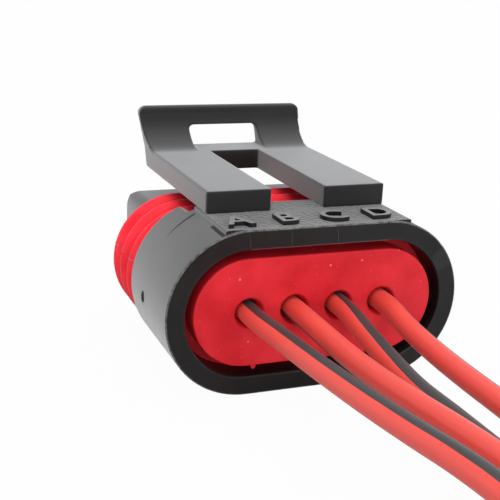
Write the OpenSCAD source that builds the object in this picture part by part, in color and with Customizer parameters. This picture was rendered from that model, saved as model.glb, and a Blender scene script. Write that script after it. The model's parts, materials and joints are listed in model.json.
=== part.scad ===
// Sealed four-way in-line connector: flat-oval housing with a lever latch, a rubber cable
// seal at the back, a ribbed ring seal round the nose and four crimped leads.
// The origin is the middle of the flat underside. +X runs along the row of cavities,
// +Y is the mating direction and +Z is up. Millimetres.

/* [Collar] */
// Width of the oval collar, along the row of cavities
collar_w = 29; // [28.2:0.1:32]
// Height of the oval collar
collar_h = 15.6; // [15.2:0.1:17]
// Length of the collar
collar_l = 11.6; // [11.2:0.1:13]
// Wall of the collar round the seal pocket
collar_wall = 1.8; // [1.4:0.05:2]
// Depth of the seal pocket, from the back rim to its floor
pocket_l = 6; // [5:0.1:6.4]
// How far the flat shelf on top stands out on each side of the latch arms
shelf_lip = 0.05; // [0.02:0.01:0.6]
// Gap from the back rim to the shelf
shelf_back = 0.3; // [0:0.05:1]
// Length of the shelf
shelf_l = 8.8; // [8:0.1:9.4]
// Depth of the relief in front of the shelf, which the latch clears
relief_d = 1.3; // [0.8:0.05:1.5]
// Width of the relief's floor
relief_w = 17.2; // [16:0.1:18]
// Fillet where the shelf drops to the relief
relief_fillet = 0.8; // [0.4:0.05:1]

/* [Body and nose] */
// Height of the oval body that carries the ring seal
body_h = 10; // [9.4:0.1:10.4]
// Length of the oval body
body_l = 8.4; // [8.3:0.05:9]
// Width of the nose that enters the mating half
nose_w = 22.6; // [21:0.1:23.4]
// Height of the nose
nose_h = 10.4; // [9.6:0.1:11]
// Length of the nose
nose_l = 6.3; // [5:0.1:8]
// Corner radius of the nose
nose_r = 1.6; // [1:0.1:2.4]
// Chamfer round the front of the nose
nose_chamfer = 0.6; // [0.3:0.05:1]
// Thickness of the front wall that the terminals stop against
front_wall = 0.7; // [0.5:0.05:1.2]

/* [Cavities] */
// Number of cavities
ways = 4; // [2:1:4]
// Distance between neighbouring cavities
pitch = 4.4; // [4.2:0.05:4.6]
// Width of a cavity
cavity_w = 3.2; // [2.9:0.05:3.4]
// Clearance above a terminal in its cavity
cavity_clear = 0.25; // [0.15:0.05:0.5]
// Width of the window in the front wall, where a mating blade enters
blade_w = 2; // [1.6:0.05:2.3]
// Height of the window in the front wall
blade_h = 1.4; // [1:0.05:1.8]
// Depth of the lock recess above each terminal
lock_d = 0.85; // [0.8:0.05:1.1]

/* [Cable seal] */
// Width of the raised face that stands out of the pocket
face_w = 23.7; // [23.2:0.1:24.2]
// Height of the raised face
face_h = 10.2; // [9.6:0.1:10.8]
// Gap from the back rim to the raised face
face_back = 0.3; // [0.1:0.05:0.8]
// Height of the raised face over the lip round it
face_rise = 2.8; // [2:0.1:3]
// Number of lips that press on the pocket wall
lips = 3; // [2:1:3]
// Length of each lip along the pocket
lip_l = 0.6; // [0.5:0.05:0.8]
// Depth of the grooves between the lips
lip_groove = 0.5; // [0.3:0.05:0.8]
// Diameter of the funnel at the mouth of each wire hole
funnel_d = 2.8; // [2.4:0.05:3.4]
// Depth of the funnel
funnel_l = 1.2; // [0.6:0.05:2]

/* [Ring seal] */
// Number of ribs round the ring seal
ribs = 3; // [2:1:3]
// Distance between the ribs
rib_pitch = 2.6; // [2.4:0.05:2.65]
// Radius of each rounded rib
rib_r = 1.5; // [1.35:0.05:1.6]
// Height of the rib crests over the body
rib_rise = 1.6; // [1.5:0.05:1.8]
// How far the rib crests stand inside the sides of the collar
crest_inset = 0; // [0:0.05:0.6]
// Length of the ring seal
ring_l = 7.9; // [7.7:0.05:8]
// Gap from the collar to the ring seal
ring_gap = 0.3; // [0.1:0.05:0.35]

/* [Latch] */
// Gap between the two latch arms
arm_gap = 5.4; // [4.6:0.1:6]
// Width of each latch arm
arm_w = 6.36; // [5.8:0.02:6.6]
// Thickness of the latch arms
arm_t = 2.1; // [1.7:0.05:2.5]
// Length of the latch arms, from their heel to the crossbar
arm_l = 17.4; // [16:0.1:19]
// Length of the foot of the crossbar
bar_l = 3.1; // [2.6:0.1:3.6]
// Height of the thumb plate over the arms
plate_h = 4.2; // [3.6:0.1:4.5]
// Width of the thumb plate at its top
plate_w = 18.9; // [18.8:0.05:19.8]
// How far the front of the thumb plate leans forward over its height
plate_lean = 2.8; // [2.6:0.05:3]
// Radius of the hollow sweep at the back of the thumb plate
sweep_r = 4.8; // [4.7:0.05:5]
// Radius of the bead along the top of the thumb plate
bead_r = 0.58; // [0.5:0.01:0.65]
// Corner radius at the top of the thumb plate
plate_r = 0.9; // [0.6:0.05:1.4]
// Width of the lock window in the thumb plate
window_w = 7.9; // [7:0.1:9]
// Height of the lock window
window_h = 2.1; // [1.6:0.05:2.3]
// Corner radius of the lock window
window_r = 0.5; // [0.3:0.05:0.7]

/* [Terminals] */
// Sheet thickness of the terminals
sheet = 0.3; // [0.25:0.01:0.35]
// Outside width of the socket box
socket_w = 2.5; // [2.3:0.05:2.6]
// Length of the socket box
socket_l = 10.9; // [9.5:0.1:11.2]
// Length of the insulation crimp
grip_l = 2.4; // [2:0.05:2.6]
// Length of the conductor crimp
crimp_l = 2.6; // [2.2:0.05:2.8]
// Width of the conductor crimp
crimp_w = 1.8; // [1.7:0.05:2]

/* [Leads] */
// Diameter over the insulation of each lead
wire_d = 1.95; // [1.9:0.01:1.97]
// Diameter of the stranded conductor
core_d = 1.2; // [1:0.05:1.3]
// Length of the stripped end
strip_l = 5; // [3:0.5:8]
// Clearance round a lead in its wire hole and crimps
wire_clear = 0.03; // [0.02:0.01:0.06]

/* [Hidden] */
$fn = 96;
eps = 0.01;
mid_z = collar_h / 2;
back_y = -collar_l / 2;
collar_front = back_y + collar_l;
pocket_floor = back_y + pocket_l;
body_w = collar_w - 2 * (rib_rise + crest_inset);
body_front = collar_front + body_l;
nose_front = body_front + nose_l;
cavity_x = [for (i = [0 : ways - 1]) (i - (ways - 1) / 2) * pitch];
deck_z = collar_h;
relief_z = deck_z - relief_d;
shelf_front = back_y + shelf_back + shelf_l;

wire_r = wire_d / 2;
core_r = core_d / 2;
base_z = mid_z - wire_r - wire_clear - sheet;
socket_top = mid_z + wire_r + wire_clear + sheet;
stop_gap = 0.1;
grip_gap = 0.4;
crimp_gap = 0.8;
socket_front = nose_front - front_wall - stop_gap;
socket_back = socket_front - socket_l;
grip_y = pocket_floor + grip_gap;
grip_front = grip_y + grip_l;
crimp_y = grip_front + crimp_gap;
crimp_front = crimp_y + crimp_l;
core_ahead = 0.3;

// Lock tang cut from the roof of the socket, and the recess it springs into.
tang_from_back = 5.6;
tang_l = 2.5;
tang_w = 0.9;
tang_rise = 0.7;
tang_gap = 0.1;
tang_root = socket_back + tang_from_back;
lock_y = tang_root - tang_l - 2 * tang_gap;
lock_inset = 0.7;
lock_l = tang_l + 1.2;

// Spring tongue folded back from the front of the socket floor.
tongue_t = 0.25;
tongue_w = 0.9;
tongue_root = socket_front - 2 * sheet;
tongue_peak = socket_front - 4;
tongue_tip = socket_front - 6.4;
tongue_drop = 0.5;

heel_y = 0;
bar_y = heel_y + arm_l;
arms_w = arm_gap + 2 * arm_w;
shelf_w = arms_w + 2 * shelf_lip;
arm_top = deck_z + arm_t;
plate_top = arm_top + plate_h;
bead_z = plate_top - bead_r;
lean = plate_lean / (arm_t + plate_h);
bead_y = (bar_y + bar_l + lean * (bead_z - deck_z) + bar_y
          + sqrt(pow(sweep_r, 2) - pow(arm_top + sweep_r - bead_z, 2))) / 2;

// Each lead: its route from the crimp, through the seal and down to the surface it lies on.
lead_y = [3, -7, -12, -17, -22, -27, -32, -37, -42, -48, -55, -62, -69, -77, -88, -102, -117,
          -133, -149];
lead_x = [
    [-6.6, -6.6, -6.4, -6.15, -5.9, -5.6, -5.2, -4.8, -4.55, -4.5, -4.7, -5.15, -5.75, -6.6,
     -7.8, -9.2, -10.3, -11.1, -11.6],
    [-2.2, -2.2, -2.25, -2.25, -2.05, -1.8, -1.45, -1.15, -1.1, -1.15, -1.35, -1.55, -1.85,
     -2.2, -2.7, -3.2, -3.5, -3.7, -3.8],
    [2.2, 2.2, 1.75, 1.35, 1.05, 1.1, 1.1, 1.15, 1.25, 1.45, 1.75, 2.05, 2.4, 2.9, 3.5, 4.1,
     4.5, 4.7, 4.8],
    [6.6, 6.6, 6.1, 5.8, 5.7, 5.7, 5.7, 5.75, 5.9, 6.15, 6.6, 7.2, 7.9, 8.8, 10.1, 11.5,
     12.7, 13.5, 14]];
lead_z = [
    [7.8, 7.8, 8, 8.2, 8.45, 8.75, 9.1, 9.5, 9.65, 9.25, 7.95, 5.85, 3.6, 1.8, 1, 1, 1, 1, 1],
    [7.8, 7.8, 7.8, 7.8, 7.9, 8.2, 8.5, 8.65, 8.65, 8.2, 7, 5.1, 3.1, 1.6, 1, 1, 1, 1, 1],
    [7.8, 7.8, 7.45, 7.1, 6.85, 6.85, 6.85, 6.75, 6.45, 5.8, 4.7, 3.3, 2, 1.2, 1, 1, 1, 1, 1],
    [7.8, 7.8, 7.45, 7.25, 7.15, 7.1, 6.95, 6.8, 6.4, 5.7, 4.6, 3.2, 1.95, 1.2, 1, 1, 1, 1,
     1]];
lead_sides = 8;

function route(i) = [for (k = [0 : len(lead_y) - 1]) [lead_x[i][k], lead_y[k], lead_z[i][k]]];
function unit(v) = v / norm(v);
function heading(p, k) =
    unit(p[min(k + 1, len(p) - 1)] - p[max(k - 1, 0)]);
function ring(c, t, r) =
    let (side = unit(cross(t, [0, 0, 1])), up = cross(side, t))
    [for (j = [0 : lead_sides - 1])
        c + r * (cos(360 * j / lead_sides) * side + sin(360 * j / lead_sides) * up)];

// An oval with straight sides and round ends.
module oval(w, h) {
    square([w - h, h], center = true);
    for (s = [-1, 1]) translate([s * (w - h) / 2, 0]) circle(d = h);
}

// A rectangle with round corners.
module rounded(w, h, r) {
    square([w - 2 * r, h], center = true);
    square([w, h - 2 * r], center = true);
    for (s = [-1, 1], t = [-1, 1])
        translate([s * (w / 2 - r), t * (h / 2 - r)]) circle(r);
}

// Extrudes an outline in X and Z from one Y to another.
module along(y0, y1) {
    translate([0, y1, 0]) rotate([90, 0, 0]) linear_extrude(y1 - y0) children();
}

// Extrudes a profile in Y and Z across a width centred on X = 0.
module across(w) {
    rotate([90, 0, 90]) linear_extrude(w, center = true) children();
}

// An outline centred on the row of wires.
module on_axis(y0, y1) {
    translate([0, 0, mid_z]) along(y0, y1) children();
}

// A hole along Y at one cavity.
module bore(x, y0, y1, r) {
    translate([x, y1, mid_z]) rotate([90, 0, 0]) cylinder(h = y1 - y0, r = r);
}

module collar() {
    difference() {
        union() {
            on_axis(back_y, collar_front) oval(collar_w, collar_h);
            translate([-shelf_w / 2, back_y + shelf_back, mid_z])
                cube([shelf_w, shelf_l, collar_h / 2]);
        }
        difference() {
            along(shelf_front, collar_front + 1)
                polygon([[-relief_w / 2, relief_z], [relief_w / 2, relief_z],
                         [relief_w / 2 + 2 * relief_d, deck_z + eps],
                         [relief_w / 2 + 2 * relief_d, deck_z + 1],
                         [-relief_w / 2 - 2 * relief_d, deck_z + 1],
                         [-relief_w / 2 - 2 * relief_d, deck_z + eps]]);
            across(collar_w) difference() {
                translate([shelf_front - eps, relief_z - eps])
                    square(relief_fillet + eps);
                translate([shelf_front + relief_fillet, relief_z + relief_fillet])
                    circle(relief_fillet);
            }
        }
    }
}

module nose() {
    intersection() {
        on_axis(body_front, nose_front) rounded(nose_w, nose_h, nose_r);
        across(nose_w + 1) chamfered(nose_h, mid_z);
        translate([0, 0, mid_z]) rotate([90, 90, 90]) rotate([0, 90, 0])
            linear_extrude(nose_h + 1, center = true) rotate(90) chamfered(nose_w, 0);
    }
}

// The nose from the side or from above, with its front edges chamfered.
module chamfered(h, c) {
    polygon([[body_front - 1, c - h / 2], [nose_front - nose_chamfer, c - h / 2],
             [nose_front, c - h / 2 + nose_chamfer], [nose_front, c + h / 2 - nose_chamfer],
             [nose_front - nose_chamfer, c + h / 2], [body_front - 1, c + h / 2]]);
}

// The room for one terminal, with its lock recess and its window in the front wall.
module cavity(x) {
    inner = nose_front - front_wall;
    ceiling = socket_top + cavity_clear;
    translate([x - cavity_w / 2, pocket_floor - 1, base_z])
        cube([cavity_w, inner - pocket_floor + 1, ceiling - base_z]);
    translate([x - cavity_w / 2 + lock_inset, lock_y, ceiling - eps])
        cube([cavity_w - 2 * lock_inset, lock_l, lock_d]);
    translate([x - blade_w / 2, inner - 1, mid_z - blade_h / 2])
        cube([blade_w, front_wall + 2, blade_h]);
}

module housing() {
    color("#2b2a2a") difference() {
        union() {
            collar();
            on_axis(collar_front - 1, body_front) oval(body_w, body_h);
            nose();
        }
        on_axis(back_y - 1, pocket_floor)
            oval(collar_w - 2 * collar_wall, collar_h - 2 * collar_wall);
        for (x = cavity_x) cavity(x);
    }
}

// Side view of the crossbar and the thumb plate, with its hollow back and its bead.
module plate_profile() {
    difference() {
        polygon([[bar_y - 1, deck_z], [bar_y + bar_l, deck_z],
                 [bar_y + bar_l + lean * (bead_z - deck_z), bead_z], [bar_y, bead_z],
                 [bar_y, arm_top], [bar_y - 1, arm_top]]);
        translate([bar_y, arm_top + sweep_r]) circle(sweep_r);
    }
    translate([bead_y, bead_z]) circle(bead_r);
}

// Front view of the crossbar and the thumb plate, a little wider at the top.
module plate_outline() {
    polygon([[-arms_w / 2, deck_z - 1], [arms_w / 2, deck_z - 1], [arms_w / 2, arm_top],
             [plate_w / 2, plate_top - plate_r], [-plate_w / 2, plate_top - plate_r],
             [-arms_w / 2, arm_top]]);
    translate([0, plate_top - plate_r])
        square([plate_w - 2 * plate_r, 2 * plate_r], center = true);
    for (s = [-1, 1])
        translate([s * (plate_w / 2 - plate_r), plate_top - plate_r]) circle(plate_r);
}

module window_outline() {
    translate([0, window_h / 2 + arm_top]) rounded(window_w, window_h, window_r);
    translate([-window_w / 2, arm_top]) square([window_w, window_h / 2]);
}

module latch() {
    color("#2b2a2a") difference() {
        union() {
            for (s = [-1, 1])
                translate([s * (arm_gap + arm_w) / 2 - arm_w / 2, heel_y, deck_z])
                    cube([arm_w, arm_l, arm_t]);
            intersection() {
                across(plate_w + 1) plate_profile();
                along(bar_y, bar_y + bar_l + plate_lean + 1) plate_outline();
            }
        }
        along(bar_y - 1, bar_y + bar_l + plate_lean + 1) window_outline();
    }
}

module cable_seal() {
    pocket_w = collar_w - 2 * collar_wall;
    pocket_h = collar_h - 2 * collar_wall;
    lip_y = back_y + face_back + face_rise;
    lip_step = (pocket_floor - lip_y - lip_l) / (lips - 1);
    color("#d8323a") difference() {
        union() {
            on_axis(back_y + face_back, lip_y + eps) oval(face_w, face_h);
            on_axis(lip_y, pocket_floor)
                oval(pocket_w - 2 * lip_groove, pocket_h - 2 * lip_groove);
            for (i = [0 : lips - 1])
                on_axis(lip_y + i * lip_step, lip_y + i * lip_step + lip_l)
                    oval(pocket_w, pocket_h);
        }
        for (x = cavity_x) {
            bore(x, back_y - 1, pocket_floor + 1, wire_r + wire_clear);
            translate([x, back_y + face_back + funnel_l, mid_z]) rotate([90, 0, 0])
                cylinder(h = funnel_l + 1, r1 = wire_r + wire_clear,
                         r2 = wire_r + wire_clear
                              + (funnel_d / 2 - wire_r - wire_clear) * (funnel_l + 1) / funnel_l);
        }
    }
}

// Section of the ring seal: radius across, length along the body.
module ring_section() {
    intersection() {
        translate([body_h / 2, 0]) square([rib_rise, ring_l]);
        union() {
            translate([body_h / 2 - 1, 0]) square([1 + rib_rise / 2, ring_l]);
            for (i = [0 : ribs - 1])
                translate([body_h / 2 + rib_rise - rib_r,
                           ring_l / 2 + (i - (ribs - 1) / 2) * rib_pitch]) circle(rib_r);
        }
    }
}

module ring_seal() {
    straight = body_w - body_h;
    color("#f0303c") translate([0, collar_front + ring_gap, mid_z]) for (s = [-1, 1]) {
        translate([s * straight / 2, 0, 0]) rotate([-90, 0, 0]) rotate([0, 0, -s * 90])
            rotate_extrude(angle = 180) ring_section();
        scale_side(s) rotate([90, 0, 90])
            linear_extrude(straight, center = true) rotate(90) mirror([0, 1]) ring_section();
    }
}

// Turns a piece over for the underside.
module scale_side(s) {
    if (s > 0) children();
    else mirror([0, 0, 1]) children();
}

// A folded crimp: square shoulders, a seam on top and the bore for what it grips.
module crimp(x, y0, y1, w, top, r) {
    chamfer = 0.45;
    seam = 0.12;
    difference() {
        translate([x, 0, 0]) along(y0, y1)
            polygon([[-w / 2, base_z], [w / 2, base_z], [w / 2, top - chamfer],
                     [w / 2 - chamfer, top], [seam / 2, top], [seam / 2, mid_z],
                     [-seam / 2, mid_z], [-seam / 2, top],
                     [chamfer - w / 2, top], [-w / 2, top - chamfer]]);
        bore(x, y0 - 1, y1 + 1, r);
    }
}

module terminal(i) {
    x = cavity_x[i];
    grip_r = wire_r + wire_clear;
    color("#c9a24b") {
        crimp(x, grip_y, grip_front, socket_w, mid_z + grip_r + sheet, grip_r);
        crimp(x, crimp_y, crimp_front, crimp_w, mid_z + core_r + wire_clear + sheet,
              core_r + wire_clear);
        translate([x - crimp_w / 2, grip_front - eps, base_z])
            cube([crimp_w, socket_back - grip_front + 2 * eps, sheet]);
        difference() {
            translate([x - socket_w / 2, socket_back, base_z])
                cube([socket_w, socket_l, socket_top - base_z]);
            translate([x - socket_w / 2 + sheet, socket_back - 1, base_z + sheet])
                cube([socket_w - 2 * sheet, socket_l + 2, socket_top - base_z - 2 * sheet]);
            translate([x - tang_w / 2 - tang_gap, tang_root - tang_l - tang_gap,
                       socket_top - sheet - tang_gap])
                cube([tang_w + 2 * tang_gap, tang_l + tang_gap, sheet + 2 * tang_gap]);
        }
        translate([x, 0, 0]) across(tang_w)
            polygon([[tang_root + sheet, socket_top - sheet / 2],
                     [tang_root + sheet, socket_top - eps],
                     [tang_root, socket_top],
                     [tang_root - tang_l, socket_top + tang_rise],
                     [tang_root - tang_l, socket_top + tang_rise - sheet],
                     [tang_root, socket_top - sheet]]);
        translate([x, 0, 0]) across(tongue_w)
            polygon([[tongue_root, base_z + sheet - eps],
                     [tongue_root, base_z + sheet + tongue_t],
                     [tongue_peak, mid_z + tongue_t],
                     [tongue_tip, mid_z + tongue_t - tongue_drop],
                     [tongue_tip, mid_z - tongue_drop], [tongue_peak, mid_z],
                     [tongue_root - 2 * tongue_t, base_z + sheet - eps]]);
    }
}

module wire(i) {
    p = route(i);
    n = len(p);
    m = lead_sides;
    color("#e5372f") polyhedron(
        points = [for (k = [0 : n - 1]) each ring(p[k], heading(p, k), wire_r)],
        faces = concat(
            [[for (j = [0 : m - 1]) j]],
            [for (k = [0 : n - 2], j = [0 : m - 1])
                [k * m + j, (k + 1) * m + j, (k + 1) * m + (j + 1) % m]],
            [for (k = [0 : n - 2], j = [0 : m - 1])
                [k * m + j, (k + 1) * m + (j + 1) % m, k * m + (j + 1) % m]],
            [[for (j = [m - 1 : -1 : 0]) (n - 1) * m + j]]));
}

// The conductor where it shows: in its crimp and at the stripped end.
module core(i) {
    p = route(i);
    n = len(p);
    t = heading(p, n - 1);
    color("#b87346") {
        bore(p[0].x, p[0].y, crimp_front + core_ahead, core_r);
        translate(p[n - 1]) rotate([0, 0, atan2(t.x, -t.y)]) rotate([90, 0, 0])
            cylinder(h = strip_l, r = core_r);
    }
}

housing();
latch();
cable_seal();
ring_seal();
terminal(0);  // terminal_a
terminal(1);  // terminal_b
terminal(2);  // terminal_c
terminal(3);  // terminal_d
wire(0);  // wire_a
wire(1);  // wire_b
wire(2);  // wire_c
wire(3);  // wire_d
core(0);  // core_a
core(1);  // core_b
core(2);  // core_c
core(3);  // core_d
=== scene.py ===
"""Dresses a sealed four-way in-line connector with a lever latch and four crimped leads.

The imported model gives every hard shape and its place. This script lays the leads' insulation and
bare strands, eases the moulded edges, adds the cavity letters, moulding marks and finishes, and
sets a pale floor, studio lamps and the camera. Everything is in metres in the model's own frame:
+X along the cavities, +Y the mating direction, +Z up, origin in the middle of the rest face.
"""

import json
import logging
import math
from collections.abc import Callable
from dataclasses import dataclass
from enum import Enum

import bmesh
import bpy
from bpy.types import Material, Node, NodeSocket, NodeTree, Object
from mathutils import Matrix, Vector

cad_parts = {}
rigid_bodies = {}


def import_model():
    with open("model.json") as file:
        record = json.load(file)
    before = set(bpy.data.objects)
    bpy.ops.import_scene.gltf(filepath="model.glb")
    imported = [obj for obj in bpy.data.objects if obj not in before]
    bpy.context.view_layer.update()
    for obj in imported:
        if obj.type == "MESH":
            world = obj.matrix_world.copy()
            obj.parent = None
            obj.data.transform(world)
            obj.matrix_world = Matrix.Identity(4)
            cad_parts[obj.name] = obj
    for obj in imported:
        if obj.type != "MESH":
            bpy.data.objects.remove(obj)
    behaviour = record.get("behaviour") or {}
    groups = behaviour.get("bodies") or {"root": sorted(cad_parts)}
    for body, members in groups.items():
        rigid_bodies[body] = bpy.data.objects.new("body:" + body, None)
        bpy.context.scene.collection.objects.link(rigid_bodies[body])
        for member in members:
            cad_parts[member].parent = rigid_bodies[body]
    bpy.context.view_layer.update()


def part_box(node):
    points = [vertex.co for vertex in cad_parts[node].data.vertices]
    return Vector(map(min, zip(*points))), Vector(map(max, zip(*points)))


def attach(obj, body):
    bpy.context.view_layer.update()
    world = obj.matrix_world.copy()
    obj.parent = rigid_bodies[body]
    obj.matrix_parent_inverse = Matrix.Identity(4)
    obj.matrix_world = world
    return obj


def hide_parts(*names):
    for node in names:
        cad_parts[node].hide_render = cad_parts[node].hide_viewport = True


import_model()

LOG = logging.getLogger("connector")
MM = 0.001
MERGE = 0.002 * MM  # points nearer than this are one
FLAT = math.radians(0.6)  # faces that meet at less than this are one
SHARP = math.radians(40)  # edges that are sharper than this may be rounded
EDGE = 0.16 * MM  # the width of a moulded edge's rounding
NEAR = 0.01 * MM  # places nearer than this are on one face
# The second finish is a copy without sheen, which paints shade where it is put.
SHADE_COPY = 1  # a black moulding's second finish, where its first is the textured one
WHITE = (1.0, 1.0, 1.0, 1.0)
Point = tuple[float, float, float]
Span = tuple[float, float]


class Body(Enum):
    """The rigid bodies that pieces ride on."""

    HOUSING = "housing"
    LATCH = "latch"


class Slot(Enum):
    """The record's material slots."""

    PLASTIC = "black_plastic"
    CABLE_SEAL = "red_silicone"
    RING_SEAL = "red_seal"
    INSULATION = "insulation"
    COPPER = "copper"


@dataclass(frozen=True)
class Collar:
    """The flat-oval collar's places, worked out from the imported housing.

    Its ends are half circles of radius end_r about (-end_x, mid_z) and (end_x, mid_z). Its rim
    lies as far behind the origin as its front lies before it.
    """

    end_r: float
    end_x: float
    mid_z: float
    top_z: float
    rim_y: float
    front_y: float
    nose_y: float

    @classmethod
    def packed(cls) -> "Collar":
        """Reads the places off the housing's box.

        Returns:
            The collar's places.
        """
        low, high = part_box("housing")
        end_r = (high.z - low.z) / 2
        return cls(end_r=end_r, end_x=high.x - end_r, mid_z=low.z + end_r, top_z=high.z,
                   rim_y=low.y, front_y=-low.y, nose_y=high.y)


COLLAR = Collar.packed()


# ---------------- small tools


def linear(code: str) -> tuple[float, float, float, float]:
    """Turns an sRGB hex colour into a linear one.

    Args:
        code: six hex digits, with or without a leading #.

    Returns:
        Linear red, green, blue and an alpha of 1.
    """
    digits = code.lstrip("#")
    parts = [int(digits[i:i + 2], 16) / 255 for i in (0, 2, 4)]
    bent = [c / 12.92 if c <= 0.04045 else ((c + 0.055) / 1.055) ** 2.4 for c in parts]
    return bent[0], bent[1], bent[2], 1.0


def fill(tree: NodeTree, node: Node, inputs: dict | tuple) -> None:
    """Fills or links a shader node's inputs.

    Args:
        tree: the node tree.
        node: the node to fill.
        inputs: values or output sockets, in order or by the input's name or number.
    """
    for key, value in inputs.items() if isinstance(inputs, dict) else enumerate(inputs):
        if isinstance(value, NodeSocket):
            tree.links.new(value, node.inputs[key])
        else:
            node.inputs[key].default_value = value


def add_node(tree: NodeTree, kind: str, inputs: dict | tuple = (), out: int | str = 0,
             **settings: object) -> NodeSocket | None:
    """Adds a shader node with its settings and fills it.

    Args:
        tree: the node tree that takes the node.
        kind: the node's class name, without ShaderNode in front.
        inputs: what fill puts into it.
        out: the output to give back, by name or number.
        **settings: the node's own properties.

    Returns:
        The chosen output, or None for a node that has none.
    """
    node = tree.nodes.new("ShaderNode" + kind)
    for name, value in settings.items():
        setattr(node, name, value)
    fill(tree, node, inputs)
    return node.outputs[out] if node.outputs else None


def deselect() -> None:
    """Leaves edit mode and clears the selection."""
    if bpy.context.object and bpy.context.object.mode != "OBJECT":
        bpy.ops.object.mode_set(mode="OBJECT")
    bpy.ops.object.select_all(action="DESELECT")


def focus(piece: Object) -> None:
    """Makes one piece the only selected and active one.

    Args:
        piece: the object to work on.
    """
    deselect()
    piece.select_set(True)
    bpy.context.view_layer.objects.active = piece


def finish_modifier(piece: Object, kind: str, **settings: object) -> None:
    """Adds a modifier to a piece and applies it.

    Args:
        piece: the object to change.
        kind: the modifier's type.
        **settings: the modifier's properties.
    """
    focus(piece)
    modifier = piece.modifiers.new(kind.title(), kind)
    for name, value in settings.items():
        setattr(modifier, name, value)
    bpy.ops.object.modifier_apply(modifier=modifier.name)


def settle(piece: Object) -> None:
    """Moves a piece's place, turn and scale into its mesh.

    Args:
        piece: the object to settle at the origin.
    """
    focus(piece)
    bpy.ops.object.transform_apply(location=True, rotation=True, scale=True)


def turn(piece: Object, degrees: float, axis: str, pivot: Vector) -> None:
    """Turns a piece's mesh about a line through a point.

    Args:
        piece: the object to turn.
        degrees: the angle.
        axis: X, Y or Z, the line's direction.
        pivot: a point on the line.
    """
    there = Matrix.Translation(pivot)
    piece.data.transform(there @ Matrix.Rotation(math.radians(degrees), 4, axis)
                         @ there.inverted())


def dress(piece: Object, material: Material) -> None:
    """Gives a piece one material all over.

    Args:
        piece: the object to dress.
        material: its finish.
    """
    piece.data.materials.clear()
    piece.data.materials.append(material)


def closed_copy(node: str, name: str) -> Object:
    """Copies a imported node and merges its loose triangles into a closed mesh.

    Args:
        node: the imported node.
        name: the new piece's name.

    Returns:
        The new piece, in the node's place.
    """
    piece = bpy.data.objects.new(name, bpy.data.objects[node].data.copy())
    bpy.context.scene.collection.objects.link(piece)
    focus(piece)
    bpy.ops.object.mode_set(mode="EDIT")
    bpy.ops.mesh.select_all(action="SELECT")
    bpy.ops.mesh.remove_doubles(threshold=MERGE)
    bpy.ops.mesh.dissolve_limited(angle_limit=FLAT)
    bpy.ops.object.mode_set(mode="OBJECT")
    return piece


def round_edges(piece: Object, width: float, segments: int,
                chosen: Callable[[Vector, Vector], bool]) -> None:
    """Rounds the outward edges that a test picks by their ends.

    Args:
        piece: the object to round.
        width: the width of the rounding.
        segments: the number of faces across it.
        chosen: tells from an edge's two ends whether it is rounded.
    """
    focus(piece)
    bpy.ops.object.mode_set(mode="EDIT")
    bpy.ops.mesh.select_mode(type="EDGE")
    bpy.ops.mesh.select_all(action="DESELECT")
    mesh = bmesh.from_edit_mesh(piece.data)
    for edge in mesh.edges:
        sharp = len(edge.link_faces) == 2 and edge.calc_face_angle() > SHARP
        if sharp and edge.is_convex and chosen(edge.verts[0].co, edge.verts[1].co):
            edge.select_set(True)
    bmesh.update_edit_mesh(piece.data)
    bpy.ops.mesh.bevel(offset=width, segments=segments, affect="EDGES", clamp_overlap=False)
    bpy.ops.object.mode_set(mode="OBJECT")


def join(pieces: list[Object], name: str) -> Object:
    """Joins pieces of one kind into one object.

    Args:
        pieces: the objects to join.
        name: the joined object's name.

    Returns:
        The joined object.
    """
    focus(pieces[0])
    for piece in pieces:
        piece.select_set(True)
    bpy.ops.object.join()
    pieces[0].name = name
    pieces[0].data.name = name
    return pieces[0]


def shade(piece: Object, degrees: float = 32) -> None:
    """Shades a moulding smooth over its roundings and keeps its large flat faces flat.

    Args:
        piece: the object to shade.
        degrees: the sharpest angle that still shades smooth.
    """
    mesh = piece.data
    around = [[] for _ in mesh.vertices]
    for face in mesh.polygons:
        face.use_smooth = True
        for corner in face.vertices:
            around[corner].append(face)
    limit = math.cos(math.radians(degrees))
    normals = [Vector((0, 0, 1))] * len(mesh.loops)
    for face in mesh.polygons:
        for loop, corner in zip(face.loop_indices, face.vertices):
            near = (other for other in around[corner] if other.normal.dot(face.normal) > limit)
            mean = sum((other.normal * other.area for other in near), face.normal * 1e-12)
            normals[loop] = mean.normalized()
    mesh.normals_split_custom_set(normals)


# ---------------- finishes


@dataclass(frozen=True)
class Finish:
    """A surface finish that is made once and shared by its pieces."""

    name: str

    def start(self) -> tuple[Material, NodeTree, Node, NodeSocket]:
        """Starts the material.

        Returns:
            The material, its node tree, its surface shader and the object coordinates.
        """
        material = bpy.data.materials.new(self.name)
        material.use_nodes = True
        tree = material.node_tree
        shader = next(n for n in tree.nodes if n.type == "BSDF_PRINCIPLED")
        return material, tree, shader, add_node(tree, "TexCoord", out="Object")


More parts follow.
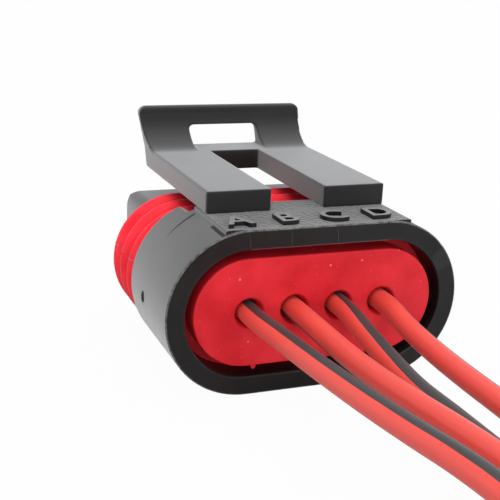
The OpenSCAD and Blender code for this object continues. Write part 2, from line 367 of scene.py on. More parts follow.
@dataclass(frozen=True)
class MouldedNylon(Finish):
    """Glass-filled nylon, moulded black: satin, with a fine grain and faint flow blotches.

    Light that skims the faces lifts them to a soft grey, and the ends that face it stay black.
    The shelf behind the latch has a coarse spark-eroded texture, bumped in, with painted shade in
    its pits, and the rim's outer edge has a painted highlight in broken patches.
    """

    dark: str = "#100f0f"
    worn: str = "#191818"
    # Painted shade: the shelf's pits are coloured darker, as the shade that falls in them.
    pit_shade: str = "#060606"
    # Painted highlight: the rim's outer edge is coloured pale in broken patches, as light along
    # it.
    rim_highlight: str = "#6a6866"
    roughness: Span = (0.44, 0.56)
    ior: float = 1.53
    sheen: float = 0.9
    sheen_roughness: float = 0.4
    gloss: float = 0.25
    blotch: float = 2.4 * MM
    grain: float = 0.16 * MM
    relief: float = 0.03 * MM
    relief_share: float = 0.3
    shelf_front: float = 3.2 * MM
    shelf_slack: float = 0.08 * MM
    # The shelf's pits: real ones are half as wide, and these are coarse enough to show.
    pit_gap: float = 0.34 * MM
    pit_range: Span = (0.42, 0.6)
    pit_depth: float = 4.0
    # The painted highlight on the rim's outer edge: how deep and how long it is, its fade,
    # and the gap between patches.
    rim_highlight_deep: float = 0.17 * MM
    rim_highlight_long: float = 0.14 * MM
    rim_highlight_fade: float = 0.06 * MM
    rim_highlight_gap: float = 0.4 * MM
    rim_highlight_range: Span = (0.3, 0.65)

    def build(self) -> Material:
        """Makes the material.

        Returns:
            The finished material.
        """
        material, tree, shader, coords = self.start()
        flow = add_node(tree, "TexNoise", {"Vector": coords, "Scale": 1 / self.blotch})
        fine = add_node(tree, "TexNoise", {"Vector": coords, "Scale": 1 / self.grain})
        plain = add_node(tree, "Mix", {0: flow, 6: linear(self.dark), 7: linear(self.worn)}, 2,
                         data_type="RGBA")
        shelf = self.on_shelf(tree, coords)
        pits = add_node(tree, "TexNoise", {"Vector": coords, "Scale": 1 / self.pit_gap,
                                           "Detail": 4.0})
        sunk = add_node(tree, "MapRange", (pits, *self.pit_range, 1.0, 0.0))
        eroded = add_node(tree, "Math", (sunk, shelf), operation="MULTIPLY")
        # Painted shade in the shelf's pits.
        pit_shaded = add_node(tree, "Mix", {0: eroded, 6: plain, 7: linear(self.pit_shade)}, 2,
                          data_type="RGBA")
        # Painted highlight on the rim's outer edge.
        colour = add_node(tree, "Mix", {0: self.rim_highlight_mask(tree, coords), 6: pit_shaded,
                                        7: linear(self.rim_highlight)}, 2, data_type="RGBA")
        height = add_node(tree, "Math", (eroded, -self.pit_depth, fine), operation="MULTIPLY_ADD")
        gloss = add_node(tree, "MapRange", (flow, 0.0, 1.0, *self.roughness))
        bump = add_node(tree, "Bump", {"Strength": self.relief_share, "Distance": self.relief,
                                       "Height": height})
        fill(tree, shader, {"Base Color": colour, "Roughness": gloss, "Normal": bump,
                            "IOR": self.ior, "Specular IOR Level": self.gloss,
                            "Sheen Weight": self.sheen,
                            "Sheen Roughness": self.sheen_roughness})
        return material

    def on_shelf(self, tree: NodeTree, coords: NodeSocket) -> NodeSocket:
        """Finds the top of the shelf, which is textured.

        Args:
            tree: the node tree.
            coords: the object coordinates.

        Returns:
            1 on the shelf and 0 elsewhere.
        """
        axes = add_node(tree, "SeparateXYZ", {"Vector": coords}).node.outputs
        high = add_node(tree, "Math", (axes["Z"], COLLAR.top_z, self.shelf_slack),
                        operation="COMPARE")
        back = add_node(tree, "Math", (axes["Y"], self.shelf_front), operation="LESS_THAN")
        return add_node(tree, "Math", (high, back), operation="MULTIPLY")

    def rim_highlight_mask(self, tree: NodeTree, coords: NodeSocket) -> NodeSocket:
        """Finds the rim's outer edge, which is painted pale in broken patches as a painted
        highlight.

        Args:
            tree: the node tree.
            coords: the object coordinates.

        Returns:
            1 where the edge carries the painted highlight and 0 elsewhere.
        """
        axes = add_node(tree, "SeparateXYZ", {"Vector": coords}).node.outputs
        across = add_node(tree, "Math", (axes["X"],), operation="ABSOLUTE")
        past = add_node(tree, "Math", (across, COLLAR.end_x), operation="SUBTRACT")
        side = add_node(tree, "Math", (past, 0.0), operation="MAXIMUM")
        up = add_node(tree, "Math", (axes["Z"], COLLAR.mid_z), operation="SUBTRACT")
        spoke = add_node(tree, "CombineXYZ", {"X": side, "Y": up})
        reach = add_node(tree, "VectorMath", (spoke,), "Value", operation="LENGTH")
        inner = COLLAR.end_r - self.rim_highlight_deep
        outer = add_node(tree, "MapRange", (reach, inner, inner + self.rim_highlight_fade))
        ahead = COLLAR.rim_y + self.rim_highlight_long
        back = add_node(tree, "MapRange", (axes["Y"], ahead, ahead - self.rim_highlight_fade))
        noise = add_node(tree, "TexNoise", {"Vector": coords, "Scale": 1 / self.rim_highlight_gap,
                                            "Detail": 5.0})
        broken = add_node(tree, "MapRange", (noise, *self.rim_highlight_range))
        edge = add_node(tree, "Math", (outer, back), operation="MULTIPLY")
        return add_node(tree, "Math", (edge, broken), operation="MULTIPLY")


@dataclass(frozen=True)
class Silicone(Finish):
    """Moulded liquid silicone: soft, evenly coloured, with a faint bloom and pale dust."""

    deep: str = "#cb1a25"
    pale: str = "#e92d38"
    speck: str = "#f0b0a8"
    dust: float = 0.6
    mote_share: float = 0.6
    gloss: float = 0.3
    ior: float = 1.41
    roughness: Span = (0.42, 0.58)
    blotch: float = 3.2 * MM
    blotch_range: Span = (0.3, 0.7)
    grain: float = 0.25 * MM
    relief: float = 0.03 * MM
    relief_share: float = 0.25
    # Dust is finer than this and lies closer: its larger grains are drawn so that they show.
    speck_gap: float = 1.9 * MM
    speck_range: Span = (0.04, 0.06)
    mote_gap: float = 0.6 * MM
    mote_range: Span = (0.05, 0.08)
    # A little light soaks in this far and comes back redder.
    soak: float = 0.08
    soak_colour: Point = (1.0, 0.2, 0.15)
    soak_depth: float = 0.4 * MM

    def build(self) -> Material:
        """Makes the material.

        Returns:
            The finished material.
        """
        material, tree, shader, coords = self.start()
        mottle = add_node(tree, "TexNoise", {"Vector": coords, "Scale": 1 / self.blotch})
        cloud = add_node(tree, "MapRange", (mottle, *self.blotch_range))
        fine = add_node(tree, "TexNoise", {"Vector": coords, "Scale": 1 / self.grain})
        cells = add_node(tree, "TexVoronoi", {"Vector": coords, "Scale": 1 / self.speck_gap})
        coarse = add_node(tree, "MapRange", (cells, *self.speck_range, self.dust, 0.0))
        motes = add_node(tree, "TexVoronoi", {"Vector": coords, "Scale": 1 / self.mote_gap})
        small = add_node(tree, "MapRange", (motes, *self.mote_range,
                                            self.dust * self.mote_share, 0.0))
        speck = add_node(tree, "Math", (coarse, small), operation="MAXIMUM")
        plain = add_node(tree, "Mix", {0: cloud, 6: linear(self.deep), 7: linear(self.pale)}, 2,
                         data_type="RGBA")
        colour = add_node(tree, "Mix", {0: speck, 6: plain, 7: linear(self.speck)}, 2,
                          data_type="RGBA")
        gloss = add_node(tree, "MapRange", (cloud, 0.0, 1.0, *self.roughness))
        bump = add_node(tree, "Bump", {"Strength": self.relief_share, "Distance": self.relief,
                                       "Height": fine})
        fill(tree, shader, {"Base Color": colour, "Roughness": gloss, "Normal": bump,
                            "IOR": self.ior, "Specular IOR Level": self.gloss,
                            "Subsurface Weight": self.soak,
                            "Subsurface Radius": self.soak_colour,
                            "Subsurface Scale": self.soak_depth})
        return material


@dataclass(frozen=True)
class Insulation(Finish):
    """Extruded red insulation with a printed tracer: smooth and slightly waxy, drawn lengthwise.

    The pattern follows the lead's own map, where U runs round the lead from the middle of the
    tracer and V runs along it in metres.
    """

    red: str = "#d23e34"
    pale: str = "#db493e"
    tracer: str = "#2a2626"
    tracer_half: float = 42 / 360
    blur: float = 0.008
    roughness: float = 0.42
    ior: float = 1.5
    sheen: float = 0.1
    sheen_roughness: float = 0.4
    relief: float = 0.02 * MM
    relief_share: float = 0.2
    # 24 marks round the lead are 0.26 mm apart, and 360 to the metre run for about 3 mm.
    draw_marks: Point = (24.0, 360.0, 1.0)

    def build(self) -> Material:
        """Makes the material.

        Returns:
            The finished material.
        """
        material, tree, shader, _ = self.start()
        place = add_node(tree, "UVMap", uv_map="lead")
        axes = add_node(tree, "SeparateXYZ", {"Vector": place}).node.outputs
        stretched = add_node(tree, "Mapping", {"Vector": place, "Scale": self.draw_marks})
        streak = add_node(tree, "TexNoise", {"Vector": stretched, "Scale": 1.0, "Detail": 3.0})
        wrapped = add_node(tree, "Math", (axes["X"], 0.5, -0.5), operation="WRAP")
        away = add_node(tree, "Math", (wrapped,), operation="ABSOLUTE")
        edge = add_node(tree, "Math", (streak, self.blur, away), operation="MULTIPLY_ADD")
        share = add_node(tree, "MapRange", (edge, self.tracer_half,
                                            self.tracer_half + self.blur, 1.0, 0.0))
        red = add_node(tree, "Mix", {0: streak, 6: linear(self.red), 7: linear(self.pale)}, 2,
                       data_type="RGBA")
        colour = add_node(tree, "Mix", {0: share, 6: red, 7: linear(self.tracer)}, 2,
                          data_type="RGBA")
        bump = add_node(tree, "Bump", {"Strength": self.relief_share, "Distance": self.relief,
                                       "Height": streak})
        fill(tree, shader, {"Base Color": colour, "Roughness": self.roughness,
                            "Normal": bump, "IOR": self.ior, "Sheen Weight": self.sheen,
                            "Sheen Roughness": self.sheen_roughness})
        return material


@dataclass(frozen=True)
class Metal(Finish):
    """Tin plate or bare copper: bright, with a faint cloud in its gloss and its colour."""

    colour: str = "#c9c5bc"
    tint: str = "#b8b2a6"
    roughness: Span = (0.25, 0.4)
    grain: float = 0.3 * MM

    def build(self) -> Material:
        """Makes the material.

        Returns:
            The finished material.
        """
        material, tree, shader, coords = self.start()
        cloud = add_node(tree, "TexNoise", {"Vector": coords, "Scale": 1 / self.grain})
        colour = add_node(tree, "Mix", {0: cloud, 6: linear(self.colour), 7: linear(self.tint)},
                          2, data_type="RGBA")
        gloss = add_node(tree, "MapRange", (cloud, 0.0, 1.0, *self.roughness))
        fill(tree, shader, {"Base Color": colour, "Roughness": gloss, "Metallic": 1.0})
        return material


# ---------------- leads


def tube(name: str, path: list[Vector], radius: float, sides: int, start: float = 0.0,
         twist: float = 0.0, end_share: float = 0.93) -> Object:
    """Sweeps a round tube along a path, with a map that runs round it and along it.

    Args:
        name: the piece's name.
        path: its centreline.
        radius: its radius.
        sides: the number of faces round it.
        start: where U is 0, in degrees from the side that faces -X, over the top.
        twist: how far that line turns, in degrees per metre of length.
        end_share: the share of the radius that both ends are eased to.

    Returns:
        The tube, closed at both ends.
    """
    built = bmesh.new()
    layer = built.loops.layers.uv.new("lead")
    rings, marks = [], []
    travelled = 0.0
    last = len(path) - 1
    for k, centre in enumerate(path):
        ahead = (path[min(k + 1, last)] - path[max(k - 1, 0)]).normalized()
        side = ahead.cross(Vector((0, 0, 1))).normalized()
        up = side.cross(ahead)
        travelled += (centre - path[k - 1]).length if k else 0.0
        eased = radius * (end_share if k in (0, last) else 1.0)
        rings.append([built.verts.new(centre + eased * (math.cos(a) * side + math.sin(a) * up))
                      for a in (math.tau * j / sides for j in range(sides))])
        marks.append((travelled, (start + twist * travelled) / 360))
    for k in range(last):
        for j in range(sides):
            n = (j + 1) % sides
            face = built.faces.new((rings[k][j], rings[k + 1][j], rings[k + 1][n], rings[k][n]))
            corners = ((k, j), (k + 1, j), (k + 1, j + 1), (k, j + 1))
            for loop, (row, column) in zip(face.loops, corners):
                loop[layer].uv = (column / sides - marks[row][1], marks[row][0])
            face.smooth = True
    for ring in (rings[0], rings[last]):
        face = built.faces.new(ring)
        for loop in face.loops:
            loop[layer].uv = (0.5, 0.0)
    bmesh.ops.recalc_face_normals(built, faces=built.faces)
    mesh = bpy.data.meshes.new(name)
    built.to_mesh(mesh)
    built.free()
    piece = bpy.data.objects.new(name, mesh)
    bpy.context.scene.collection.objects.link(piece)
    return piece


def flowing(points: list[Vector], step: float) -> list[Vector]:
    """Draws one smooth curve through a route's points.

    Args:
        points: the route's points.
        step: the greatest distance between points on the curve.

    Returns:
        The curve's points, closely spaced.
    """
    curve = []
    for k in range(len(points) - 1):
        before = points[max(k - 1, 0)]
        start, end = points[k], points[k + 1]
        after = points[min(k + 2, len(points) - 1)]
        span = (end - start).length
        leave = (end - before).normalized() * span
        arrive = (after - start).normalized() * span
        count = max(1, math.ceil(span / step))
        for i in range(count):
            t = i / count
            curve.append((2 * t ** 3 - 3 * t ** 2 + 1) * start + (t ** 3 - 2 * t ** 2 + t) * leave
                         + (3 * t ** 2 - 2 * t ** 3) * end + (t ** 3 - t ** 2) * arrive)
    curve.append(points[-1])
    return curve


@dataclass(frozen=True)
class Lead:
    """One crimped lead: its route from the crimp to its stripped end, in millimetres.

    The tracer starts tracer_turn degrees round the lead and turns by tracer_twist degrees for
    each millimetre of it.
    """

    letter: str
    across: tuple[float, ...]
    heights: tuple[float, ...]
    tracer_turn: float
    tracer_twist: float
    backs: tuple[float, ...] = (3, -7, -12, -17, -22, -27, -32, -37, -42, -48, -55, -62, -69,
                                -77, -88, -102, -117, -133, -149)
    diameter: float = 1.95 * MM
    sides: int = 28
    length: float = 153 * MM
    strip: float = 5 * MM
    crimp_end: float = 7.1 * MM
    seal_face: float = -5.5 * MM
    step: float = 0.9 * MM
    # The strands: radius, faces round one, and how far one full turn of their lay takes.
    thread: float = 0.2 * MM
    thread_sides: int = 10
    thread_share: float = 0.97
    threads_round: int = 6
    lay: float = 14 * MM
    lay_share: float = 0.98
    lay_steps: int = 12
    ragged: float = 0.03

    def strands(self, start: Vector, ahead: Vector, length: float, name: str) -> list[Object]:
        """Lays seven copper strands from one point, six of them twisted round the first.

        Args:
            start: where the bundle starts.
            ahead: its direction.
            length: its length.
            name: the start of the pieces' names.

        Returns:
            The strands, whose ends are slightly uneven.
        """
        side = ahead.cross(Vector((0, 0, 1))).normalized()
        up = side.cross(ahead)
        count = self.threads_round + 1
        made = []
        for i in range(count):
            off = 2 * self.thread * self.lay_share if i else 0.0
            # Steps of five through seven strands leave neighbours unequal.
            reach = length * (1.0 - self.ragged * ((i * 5) % count) / count)
            path = []
            for k in range(self.lay_steps + 1):
                run = reach * k / self.lay_steps
                angle = math.tau * (i / self.threads_round + run / self.lay)
                path.append(start + run * ahead
                            + off * (math.cos(angle) * side + math.sin(angle) * up))
            made.append(tube(f"{name}_{i}", path, self.thread * self.thread_share,
                             self.thread_sides))
        return made

    def build(self, jacket: Material, copper: Material) -> None:
        """Args:
            jacket: the insulation's finish.
            copper: the strands' finish.
        """
        points = [Vector(p) * MM for p in zip(self.across, self.backs, self.heights)]
        path = flowing(points, self.step)
        piece = tube(f"lead_{self.letter}", path, self.diameter / 2, self.sides,
                     self.tracer_turn, self.tracer_twist / MM)
        dress(piece, jacket)
        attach(piece, Body.HOUSING.value)
        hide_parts(f"wire_{self.letter}")
        tail = self.strands(points[-1], (points[-1] - points[-2]).normalized(), self.strip,
                            f"tail_{self.letter}")
        crimped = self.strands(points[0], Vector((0, 1, 0)), self.crimp_end - points[0].y,
                               f"crimped_{self.letter}")
        bundle = join(tail + crimped, f"strands_{self.letter}")
        dress(bundle, copper)
        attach(bundle, Body.HOUSING.value)
        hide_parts(f"core_{self.letter}")
        LOG.info("lead %s laid with %d points", self.letter, len(path))


LEADS = (
    Lead("a", (-6.6, -6.6, -6.4, -6.15, -5.9, -5.6, -5.2, -4.8, -4.55, -4.5, -4.7, -5.15, -5.75,
               -6.6, -7.8, -9.2, -10.3, -11.1, -11.6),
         (7.8, 7.8, 8, 8.2, 8.45, 8.75, 9.1, 9.5, 9.65, 9.25, 7.95, 5.85, 3.6, 1.8, 1, 1, 1, 1,
          1),
         102.0, 0.0),
    Lead("b", (-2.2, -2.2, -2.25, -2.25, -2.05, -1.8, -1.45, -1.15, -1.1, -1.15, -1.35, -1.55,
               -1.85, -2.2, -2.7, -3.2, -3.5, -3.7, -3.8),
         (7.8, 7.8, 7.8, 7.8, 7.9, 8.2, 8.5, 8.65, 8.65, 8.2, 7, 5.1, 3.1, 1.6, 1, 1, 1, 1, 1),
         -42.0, -1.4),
    Lead("c", (2.2, 2.2, 1.75, 1.35, 1.05, 1.1, 1.1, 1.15, 1.25, 1.45, 1.75, 2.05, 2.4, 2.9, 3.5,
               4.1, 4.5, 4.7, 4.8),
         (7.8, 7.8, 7.45, 7.1, 6.85, 6.85, 6.85, 6.75, 6.45, 5.8, 4.7, 3.3, 2, 1.2, 1, 1, 1, 1,
          1),
         123.0, -1.1),
    Lead("d", (6.6, 6.6, 6.1, 5.8, 5.7, 5.7, 5.7, 5.75, 5.9, 6.15, 6.6, 7.2, 7.9, 8.8, 10.1,
               11.5, 12.7, 13.5, 14),
         (7.8, 7.8, 7.45, 7.25, 7.15, 7.1, 6.95, 6.8, 6.4, 5.7, 4.6, 3.2, 1.95, 1.2, 1, 1, 1, 1,
          1),
         165.0, -0.5),
)


# ---------------- moulded pieces


@dataclass(frozen=True)
class Shell:
    """The housing: collar, shelf, body and nose in one moulding, with its moulding marks and
    strips of painted shade.
    """

    nose_length: float = 6.3 * MM
    shelf_half: float = 9.0 * MM
    shelf_front: float = 3.3 * MM
    pocket_wall: float = 1.75 * MM
    pocket_floor: float = 0.3 * MM
    slit_y: float = 1.75 * MM
    slit_width: float = 0.2 * MM
    slit_depth: float = 0.15 * MM
    slit_proud: float = 0.012 * MM
    # Degrees from the top of the round end, down its shoulder.
    slit_from: float = 57.0
    slit_to: float = 20.0
    slit_skew: float = 14.0
    slit_pivot: float = 4.3 * MM
    slit_steps: int = 16
    gate: Point = (-14.52 * MM, 1.4 * MM, 7.7 * MM)
    gate_size: Point = (0.16 * MM, 0.26 * MM, 0.55 * MM)
    # Faint raised lines on the rim, where mould inserts end.
    insert_x: tuple[float, ...] = (-6.95 * MM, -3.0 * MM, 1.5 * MM)
    insert_size: Point = (0.06 * MM, 0.05 * MM, 1.3 * MM)
    insert_z: float = 14.65 * MM
    insert_lean: float = -6.0
    insert_edge: float = 0.015 * MM
    letters: str = "ABCD"
    letter_pitch: float = 4.65 * MM
    letter_size: float = 3.6 * MM
    letter_bold: float = 0.05 * MM
    letter_rise: float = 0.42 * MM
    letter_sink: float = 0.02 * MM
    letter_bevel: float = 0.02 * MM
    letter_x: float = -0.4 * MM
    letter_y: float = -3.75 * MM
    letter_side: float = 0.5
    # Dark strips on the walls under the shelf's two free edges: painted shade, where these walls
    # are in shade.
    shade_strip: Point = (9.29 * MM, -3.95 * MM, 15.12 * MM)
    shade_strip_size: Point = (0.38 * MM, 3.3 * MM, 0.1 * MM)
    shade_strip_lean: float = 19.5
    shade_strip_edge: float = 0.03 * MM

    def build(self, textured: Material, shade_copy: Material) -> None:
        """Builds the shell and its letters.

        Args:
            textured: the finish of its outer faces.
            shade_copy: the copy of the finish without sheen, which paints shade on the pocket
                wall,
            which the seal slides on, and on the gap, the gate mark and the strips on the shelf's
            side walls, so that they stay dark.
        """
        piece = closed_copy("housing", "housing_shell")
        round_edges(piece, EDGE, segments=3, chosen=self.outer_edge)
        lines = [self.bar((x, COLLAR.rim_y, self.insert_z), self.insert_size,
                          self.insert_lean, self.insert_edge, 1) for x in self.insert_x]
        for plain in [piece] + lines:
            dress(plain, textured)
        x, y, z = self.shade_strip
        shade_strips = [self.bar((side * x, y, z), self.shade_strip_size, side * self.shade_strip_lean,
                            self.shade_strip_edge, 2) for side in (-1, 1)]
        # The gap, the gate mark and the strips take the copy without sheen, as painted shade.
        dark = [self.slit(), self.gate_mark()] + shade_strips
        for mark in dark:
            dress(mark, shade_copy)
        piece = join([piece] + lines + dark, "housing_shell")
        shade(piece)
        # Painted shade: the pocket's faces take the copy without sheen, so that they look black.
        for face in piece.data.polygons:
            if self.in_pocket(face.center):
                face.material_index = SHADE_COPY
        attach(piece, Body.HOUSING.value)
        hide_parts("housing")
        LOG.info("housing shell rounded and marked")
        middle = (len(self.letters) - 1) / 2
        for i, letter in enumerate(self.letters):
            self.mark(letter, self.letter_x + (i - middle) * self.letter_pitch, textured,
                      shade_copy)

    def outer_edge(self, a: Vector, b: Vector) -> bool:
        """Picks the rims, the front faces' borders and the shelf's free edges.

        Args:
            a: one end of an edge.
            b: its other end.

        Returns:
            Whether the edge is rounded.
        """
        body_front = COLLAR.nose_y - self.nose_length
        for y in (COLLAR.rim_y, COLLAR.front_y, body_front, COLLAR.nose_y):
            if max(abs(a.y - y), abs(b.y - y)) < NEAR:
                return True
        if max(abs(a.z - COLLAR.top_z), abs(b.z - COLLAR.top_z)) > NEAR:
            return False
        side = min(abs(a.x), abs(b.x)) > self.shelf_half
        return side or min(a.y, b.y) > self.shelf_front - NEAR

    def in_pocket(self, centre: Vector) -> bool:
        """Tells whether a face is part of the seal pocket.

        Args:
            centre: the face's middle.

        Returns:
            Whether it lies inside the collar's wall and behind the pocket's floor.
        """
        across = max(abs(centre.x) - COLLAR.end_x, 0.0)
        reach = math.hypot(across, centre.z - COLLAR.mid_z)
        inside = reach < COLLAR.end_r - self.pocket_wall
        return inside and centre.y < self.pocket_floor

    def slit(self) -> Object:
        """Shapes the fine gap where two halves of the mould met, over one shoulder, as a dark
        strip.

        Returns:
            The gap, as a thin strip set into the collar, which paints the shade in the gap;
            the collar itself is not cut.
        """
        deselect()
        centre = Vector((-COLLAR.end_x, self.slit_y, COLLAR.mid_z))
        middle = COLLAR.end_r + self.slit_proud - self.slit_depth / 2
        bpy.ops.mesh.primitive_plane_add(size=1.0, rotation=(0, math.pi / 2, 0),
                                         location=centre + Vector((0, 0, middle)))
        piece = bpy.context.object
        piece.name = "mould_gap"
        piece.scale = (self.slit_depth, self.slit_width, 1.0)
        settle(piece)
        turn(piece, -self.slit_from, "Y", centre)
        bpy.ops.object.mode_set(mode="EDIT")
        bpy.ops.mesh.select_all(action="SELECT")
        bpy.ops.mesh.spin(steps=self.slit_steps, center=centre, axis=(0, 1, 0),
                          angle=math.radians(self.slit_to - self.slit_from))
        bpy.ops.mesh.select_all(action="SELECT")
        bpy.ops.mesh.remove_doubles(threshold=MERGE)
        bpy.ops.mesh.fill_holes(sides=4)
        bpy.ops.mesh.normals_make_consistent(inside=False)
        bpy.ops.object.mode_set(mode="OBJECT")
        turn(piece, self.slit_skew, "Z", centre - Vector((self.slit_pivot, 0, 0)))
        return piece

    def bar(self, place: Point, size: Point, lean: float, edge: float, segments: int) -> Object:
        """Shapes a thin bar that is set into the collar.

        Args:
            place: its middle.
            size: its width, length and height.
            lean: its turn about Y, in degrees.
            edge: the width of its eased edges.
            segments: the number of faces across them.

        Returns:
            The bar.
        """
        deselect()
        bpy.ops.mesh.primitive_cube_add(size=1.0, location=place)
        piece = bpy.context.object
        piece.scale = size
        piece.rotation_euler = (0.0, math.radians(lean), 0.0)
        settle(piece)
        finish_modifier(piece, "BEVEL", width=edge, segments=segments)
        return piece

    def gate_mark(self) -> Object:
        """Shapes the small pip that the moulding gate left on the round end.

        Returns:
            The pip.
        """
        deselect()
        bpy.ops.mesh.primitive_uv_sphere_add(segments=20, ring_count=12, radius=1.0,
                                             location=self.gate)
        piece = bpy.context.object
        piece.scale = self.gate_size
        settle(piece)
        return piece

    def mark(self, letter: str, x: float, textured: Material, shade_copy: Material) -> None:
        """Raises one cavity letter on the shelf.

        Args:
            letter: the letter.
            x: its middle along the row of cavities.
            textured: the finish of its top, the same as the shelf's.
            shade_copy: the finish of its sides, the copy without sheen, which paints shade on
                them.
        """
        deselect()
        foot = COLLAR.top_z - self.letter_sink
        bpy.ops.object.text_add(location=(x, self.letter_y, foot + self.letter_rise / 2))
        piece = bpy.context.object
        piece.name = f"cavity_letter_{letter.lower()}"
        text = piece.data
        text.body = letter
        text.align_x = "CENTER"
        text.align_y = "CENTER"
        text.size = self.letter_size
        text.offset = self.letter_bold
        text.extrude = self.letter_rise / 2 - self.letter_bevel
        text.bevel_depth = self.letter_bevel
        text.bevel_resolution = 1
        focus(piece)
        bpy.ops.object.convert(target="MESH")
        settle(piece)
        shade(piece)
        dress(piece, textured)
        piece.data.materials.append(shade_copy)
        # Painted shade: the letters' steep sides take the copy without sheen, so that they look
        # black.
        for face in piece.data.polygons:
            if abs(face.normal.z) < self.letter_side:
                face.material_index = SHADE_COPY
        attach(piece, Body.HOUSING.value)
        LOG.info("cavity letter %s raised", letter)


@dataclass(frozen=True)
class LatchLever:
    """The latch: two arms, a crossbar and the hollow-backed thumb plate."""

    voxel: float = 0.13 * MM
    passes: int = 8
    ease: float = 0.5
    crease: float = 60.0

    def build(self, plastic: Material) -> None:
        """Builds the lever, with every edge softened as a worn mould leaves it.

        Args:
            plastic: its finish.
        """
        piece = closed_copy("latch", "latch_lever")
        finish_modifier(piece, "REMESH", mode="VOXEL", voxel_size=self.voxel,
                        use_smooth_shade=True)
        finish_modifier(piece, "SMOOTH", factor=self.ease, iterations=self.passes)
        bpy.ops.object.shade_smooth_by_angle(angle=math.radians(self.crease))
        dress(piece, plastic)
        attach(piece, Body.LATCH.value)
        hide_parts("latch")
        LOG.info("latch lever softened, %d faces", len(piece.data.polygons))


@dataclass(frozen=True)
class Seals:
    """The cable seal at the back and the ribbed ring seal round the body."""

    face_y: float = -5.5 * MM
    rib_crease: float = 40.0
    flash_z: float = 9.5 * MM
    flash_half: float = 0.04 * MM
    flash_rise: float = 0.02 * MM
    flash_x: float = 12.6 * MM
    nib: Point = (-6.0 * MM, -5.42 * MM, 2.55 * MM)
    nib_size: Point = (0.36 * MM, 0.12 * MM, 0.2 * MM)

    def build(self, face: Material, ring: Material, thin: Material) -> None:
        """Builds both seals.

        Args:
            face: the cable seal's finish.
            ring: the ring seal's finish.
            thin: the finish of the ring's flash, which lets light through.
        """
        cable = closed_copy("cable_seal", "cable_seal_plug")
        round_edges(cable, EDGE, segments=3, chosen=self.face_edge)
        cable = join([cable, self.torn_nib()], "cable_seal_plug")
        shade(cable)
        dress(cable, face)
        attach(cable, Body.HOUSING.value)
        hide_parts("cable_seal")
        ribbed = closed_copy("ring_seal", "ring_seal_ribs")
        dress(ribbed, ring)
        lines = [self.flash(-1), self.flash(1)]
        for line in lines:
            dress(line, thin)
        ribbed = join([ribbed] + lines, "ring_seal_ribs")
        shade(ribbed, self.rib_crease)
        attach(ribbed, Body.HOUSING.value)
        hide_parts("ring_seal")
        LOG.info("seals rounded, with their flash")

    def face_edge(self, a: Vector, b: Vector) -> bool:
        """Picks the border of the raised face and the mouths of its holes.

        Args:
            a: one end of an edge.
            b: its other end.

        Returns:
            Whether the edge is rounded.
        """
        return max(abs(a.y - self.face_y), abs(b.y - self.face_y)) < NEAR

    def flash(self, side: int) -> Object:
        """Shapes the thin line of flash across the ribs at one end of the ring seal.

        Args:
            side: -1 for the end towards -X, 1 for the other.

        Returns:
            The flash, which stands a little proud of the ribs.
        """
        piece = closed_copy("ring_seal", "ring_flash")
        piece.scale.x = 1 + self.flash_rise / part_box("ring_seal")[1].x
        settle(piece)
        bpy.ops.object.mode_set(mode="EDIT")
        planes = (((0, 0, self.flash_z + self.flash_half), (0, 0, 1)),
                  ((0, 0, self.flash_z - self.flash_half), (0, 0, -1)),
                  ((side * self.flash_x, 0, 0), (-side, 0, 0)))
        for place, outward in planes:
            bpy.ops.mesh.select_all(action="SELECT")
            bpy.ops.mesh.bisect(plane_co=place, plane_no=outward, use_fill=True,
                                clear_outer=True)
        bpy.ops.object.mode_set(mode="OBJECT")
        return piece

    def torn_nib(self) -> Object:
        """Shapes the small torn nib that hangs from the lower border of the raised face.

        Returns:
            The nib.
        """
        deselect()
        bpy.ops.mesh.primitive_cone_add(vertices=7, radius1=1.0, radius2=0.3, depth=2.0,
                                        location=self.nib, rotation=(math.pi, 0, 0))
        piece = bpy.context.object
        piece.scale = self.nib_size
        settle(piece)
        return piece


@dataclass(frozen=True)
class Terminals:
    """The four crimped terminals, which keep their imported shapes."""

    letters: str = "abcd"

    def build(self, tin: Material) -> None:
        """Plates the terminals.

        Args:
            tin: their finish.
        """
        for letter in self.letters:
            for place in bpy.data.objects[f"terminal_{letter}"].material_slots:
                place.material = tin
            LOG.info("terminal %s plated", letter)


# ---------------- studio


@dataclass(frozen=True)
class Band:
    """A band of the sky, which rises softly along an axis from nothing to its full level."""

    axis: str
    start: float
    end: float
    level: float


@dataclass(frozen=True)
class Lamp:
    """A soft square lamp that points at the connector."""

    name: str
    place: Point
    watts: float
    size: float = 0.3
    target: Point = (0.0, 0.0, 0.008)

    def hang(self) -> None:
        """Hangs the lamp."""
        data = bpy.data.lights.new(self.name, "AREA")
        data.shape = "SQUARE"
        data.size = self.size
        data.energy = self.watts
        lamp = bpy.data.objects.new(self.name, data)
        lamp.location = self.place
        ahead = Vector(self.target) - Vector(self.place)
        lamp.rotation_euler = ahead.to_track_quat("-Z", "Y").to_euler()
        bpy.context.scene.collection.objects.link(lamp)


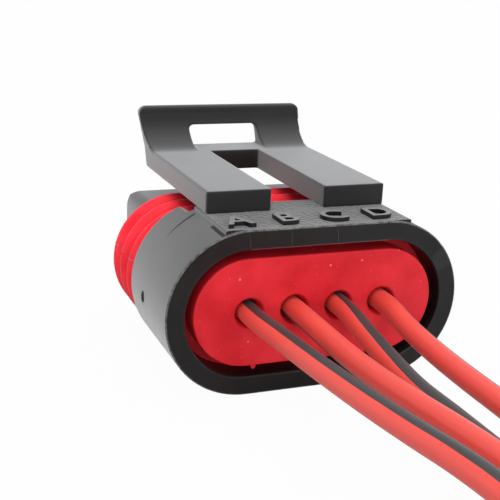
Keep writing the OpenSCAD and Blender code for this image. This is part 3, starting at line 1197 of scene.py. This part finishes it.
@dataclass(frozen=True)
class Studio:
    """A pale floor, a soft sky, two lamps and the camera.

    The camera's yaw turns from +Y towards +X, its pitch looks down, and its field is in degrees.
    """

    eye: Point = (-37.79 * MM, -82.76 * MM, 39.46 * MM)
    yaw: float = 21.84
    pitch: float = 17.17
    roll: float = 2.57
    field: float = 28.13
    floor_size: float = 6.0
    floor_drop: float = 0.02 * MM
    paint: str = "#b4b4b2"
    # How much of the floor's own shadow is washed out where it is looked at.
    clean: float = 0.97
    tint: tuple[float, float, float, float] = (0.97, 0.98, 1.0, 1.0)
    even: float = 0.3
    overhead: Band = Band("Z", 0.7, 0.9, 3.0)
    front: Band = Band("Z", 0.32, 0.08, 2.3)
    back: Band = Band("Z", 0.6, 0.4, 0.7)
    forward: Band = Band("Y", 0.1, -0.1, 1.0)
    lamps: tuple[Lamp, ...] = (Lamp("left_lamp", (-0.36, 0.12, 0.05), 0.15),
                               Lamp("front_lamp", (-0.12, -0.5, 0.25), 0.5))

    def camera(self) -> None:
        """Sets the camera at the viewing place, looking slightly down along the leads."""
        yaw, pitch, roll = (math.radians(a) for a in (self.yaw, self.pitch, self.roll))
        ahead = Vector((math.sin(yaw) * math.cos(pitch), math.cos(yaw) * math.cos(pitch),
                        -math.sin(pitch)))
        level = Vector((math.cos(yaw), -math.sin(yaw), 0))
        up = level.cross(ahead)
        right = math.cos(roll) * level + math.sin(roll) * up
        top = math.cos(roll) * up - math.sin(roll) * level
        data = bpy.data.cameras.new("camera")
        data.sensor_width = 36
        data.angle = math.radians(self.field)
        data.clip_start = 1 * MM
        data.clip_end = 10
        seat = bpy.data.objects.new("camera", data)
        facing = Matrix((right, top, -ahead)).transposed().to_4x4()
        seat.matrix_world = Matrix.Translation(self.eye) @ facing
        bpy.context.scene.collection.objects.link(seat)
        bpy.context.scene.camera = seat

    def looked_at(self, tree: NodeTree) -> NodeSocket:
        """Tells where the set is looked at, straight or through something.

        Args:
            tree: the node tree.

        Returns:
            1 for such a look, and 0 where the set lights the object.
        """
        path = add_node(tree, "LightPath").node.outputs
        return add_node(tree, "Math", (path["Is Camera Ray"], path["Is Transmission Ray"]),
                        operation="MAXIMUM")

    def floor(self) -> None:
        """Lays a white floor that keeps a soft shadow."""
        deselect()
        bpy.ops.mesh.primitive_plane_add(size=self.floor_size,
                                         location=(0, 0, -self.floor_drop))
        plane = bpy.context.object
        plane.name = "studio_floor"
        material = bpy.data.materials.new("white_floor")
        material.use_nodes = True
        tree = material.node_tree
        tree.nodes.clear()
        paint = add_node(tree, "BsdfDiffuse", {"Color": linear(self.paint)})
        glow = add_node(tree, "Emission", {"Color": WHITE, "Strength": 1.0})
        share = add_node(tree, "Math", (self.looked_at(tree), self.clean), operation="MULTIPLY")
        both = add_node(tree, "MixShader", (share, paint, glow))
        add_node(tree, "OutputMaterial", {"Surface": both})
        dress(plane, material)

    def sky(self) -> None:
        """Surrounds the set with soft light, strongest overhead and then low in front."""
        world = bpy.data.worlds.new("studio")
        bpy.context.scene.world = world
        world.use_nodes = True
        tree = world.node_tree
        tree.nodes.clear()
        around = add_node(tree, "TexCoord", out="Generated")
        axes = add_node(tree, "SeparateXYZ", {"Vector": around}).node.outputs
        overhead, front, back, forward = (
            add_node(tree, "MapRange", (axes[band.axis], band.start, band.end, 0.0, band.level),
                     interpolation_type="SMOOTHSTEP")
            for band in (self.overhead, self.front, self.back, self.forward))
        low = add_node(tree, "Mix", {0: forward, 2: back, 3: front}, data_type="FLOAT")
        sides = add_node(tree, "Math", (low, self.even), operation="ADD")
        strength = add_node(tree, "Math", (overhead, sides), operation="ADD")
        lit = add_node(tree, "Background", {"Color": self.tint, "Strength": strength})
        white = add_node(tree, "Background", {"Color": WHITE, "Strength": 1.0})
        both = add_node(tree, "MixShader", (self.looked_at(tree), lit, white))
        add_node(tree, "OutputWorld", {"Surface": both})

    def build(self) -> None:
        """Builds the floor, the sky and the lamps, and shows colours as they are written."""
        bpy.context.scene.view_settings.view_transform = "Standard"
        self.floor()
        self.sky()
        for lamp in self.lamps:
            lamp.hang()
        LOG.info("studio lit")


def main() -> None:
    """Builds the camera, the leads, the mouldings and the studio, in that order."""
    logging.basicConfig(level=logging.INFO, format="%(message)s")
    studio = Studio()
    studio.camera()
    jacket = Insulation("lead_insulation").build()
    copper = Metal("bare_copper", "#c77b52", "#a85f3c", roughness=(0.28, 0.42)).build()
    for lead in LEADS:
        lead.build(jacket, copper)
    textured = MouldedNylon("black_nylon").build()
    # A copy of the black nylon without its grey sheen, which looks black: painted shade on the
    # pocket wall, the gap, the gate mark, the strips under the shelf's edges and the letters'
    # sides.
    shade_copy = MouldedNylon("black_nylon_shade_copy", sheen=0.0, gloss=0.3,
                            roughness=(0.3, 0.4)).build()
    Shell().build(textured, shade_copy)
    LatchLever().build(textured)
    face = Silicone("cable_silicone").build()
    ribs = Silicone("ring_silicone", deep="#dd2632", pale="#ee3642", dust=0.0,
                    roughness=(0.3, 0.4), gloss=0.04).build()
    # The flash is so thin that light comes through it, which makes it pale.
    thin = Silicone("flash_silicone", deep="#f0606c", pale="#f67c86", dust=0.0).build()
    Seals().build(face, ribs, thin)
    Terminals().build(Metal("tin_plate").build())
    studio.build()


if __name__ == "__main__":
    main()
